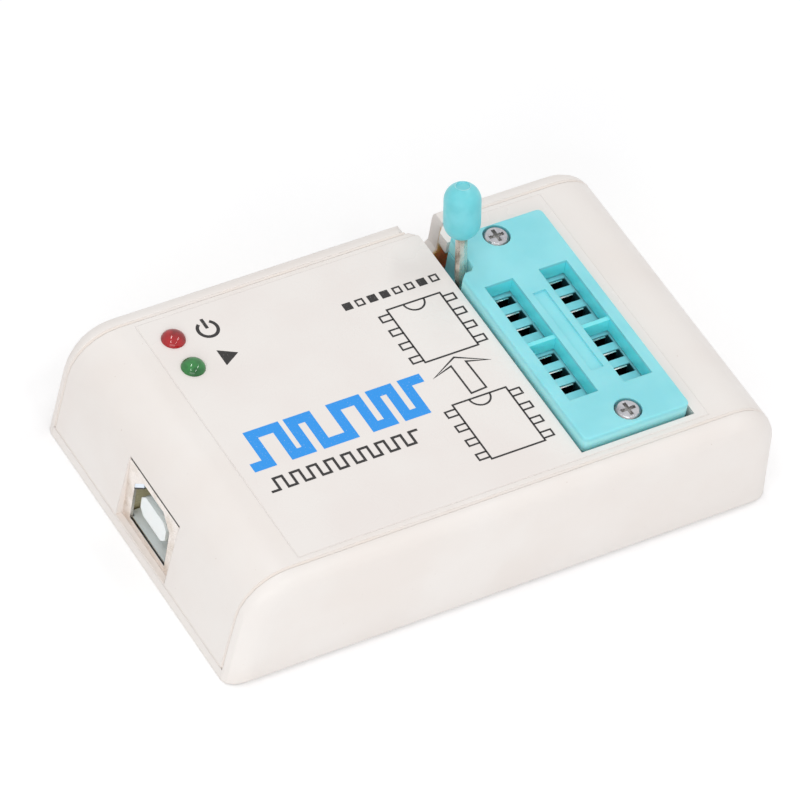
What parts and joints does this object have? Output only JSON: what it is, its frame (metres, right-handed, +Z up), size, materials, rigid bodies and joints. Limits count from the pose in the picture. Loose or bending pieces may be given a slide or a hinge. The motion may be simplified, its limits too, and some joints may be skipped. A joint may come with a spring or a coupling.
{
  "type": "chip programmer",
  "caption": "Low plastic box with a USB port in one end, indicator lamps and a lever test socket for memory chips in its printed top.",
  "frame": {"origin": "middle of the case's flat underside", "axes": "+X along the case from the USB port to the socket end, +Y to the back where the lever lies when closed, +Z up"},
  "size_m": [0.0754, 0.046, 0.0288],
  "materials": {
    "case": "fine satin off-white",
    "label": "printed satin sheet",
    "socket": "satin teal",
    "knob": "satin teal",
    "steel": "bright",
    "tinned_contact": "tinned",
    "gold_contact": "gold plated",
    "port_plastic": "pale plastic",
    "red_lens": "clear red",
    "green_lens": "clear green",
    "board": "green solder mask",
    "black_plastic": "moulded",
    "capacitor_can": "bright"
  },
  "bodies": {
    "case": {"bottom_shell": "case", "top_shell": "case", "top_label": "label", "red_led_lens": "red_lens", "green_led_lens": "green_lens", "usb_shell": "steel", "usb_insulator": "port_plastic", "zif_cover": "socket", "zif_base": "socket", "zif_screw_back": "steel", "zif_screw_front": "steel", "zif_riser_left": "black_plastic", "zif_riser_right": "black_plastic", "main_board": "board", "microcontroller": "black_plastic", "voltage_regulator": "black_plastic", "crystal": "steel", "capacitor_1": "capacitor_can", "capacitor_2": "capacitor_can", "zif_contact_1": "tinned_contact", "zif_contact_2": "tinned_contact", "zif_contact_3": "tinned_contact", "zif_contact_4": "tinned_contact", "zif_contact_5": "tinned_contact", "zif_contact_6": "tinned_contact", "zif_contact_7": "tinned_contact", "zif_contact_8": "tinned_contact", "zif_contact_9": "tinned_contact", "zif_contact_10": "tinned_contact", "zif_contact_11": "tinned_contact", "zif_contact_12": "tinned_contact", "zif_contact_13": "tinned_contact", "zif_contact_14": "tinned_contact", "zif_contact_15": "tinned_contact", "zif_contact_16": "tinned_contact", "red_led_lead_1": "tinned_contact", "red_led_lead_2": "tinned_contact", "green_led_lead_1": "tinned_contact", "green_led_lead_2": "tinned_contact", "usb_contact_1": "gold_contact", "usb_contact_2": "gold_contact", "usb_contact_3": "gold_contact", "usb_contact_4": "gold_contact", "case_screw_1": "steel", "case_screw_2": "steel", "case_screw_3": "steel", "case_screw_4": "steel"},
    "lever": {"zif_lever": "steel", "zif_knob": "knob"},
    "slider": {"zif_slider": "socket"}
  },
  "joints": [
    {"name": "lever_hinge", "type": "hinge", "parent": "case", "child": "lever", "pos_m": [0.0119, 0.01125, 0.0125], "axis": [-1, 0, 0], "range_deg": [0, 77]},
    {"name": "slider_travel", "type": "slide", "parent": "case", "child": "slider", "axis": [0, 1, 0], "range_m": [0, 0.0005]}
  ],
  "couplings": [
    {"joint": "lever_hinge", "follows": "slider_travel", "rad_per_m": 2687}
  ]
}
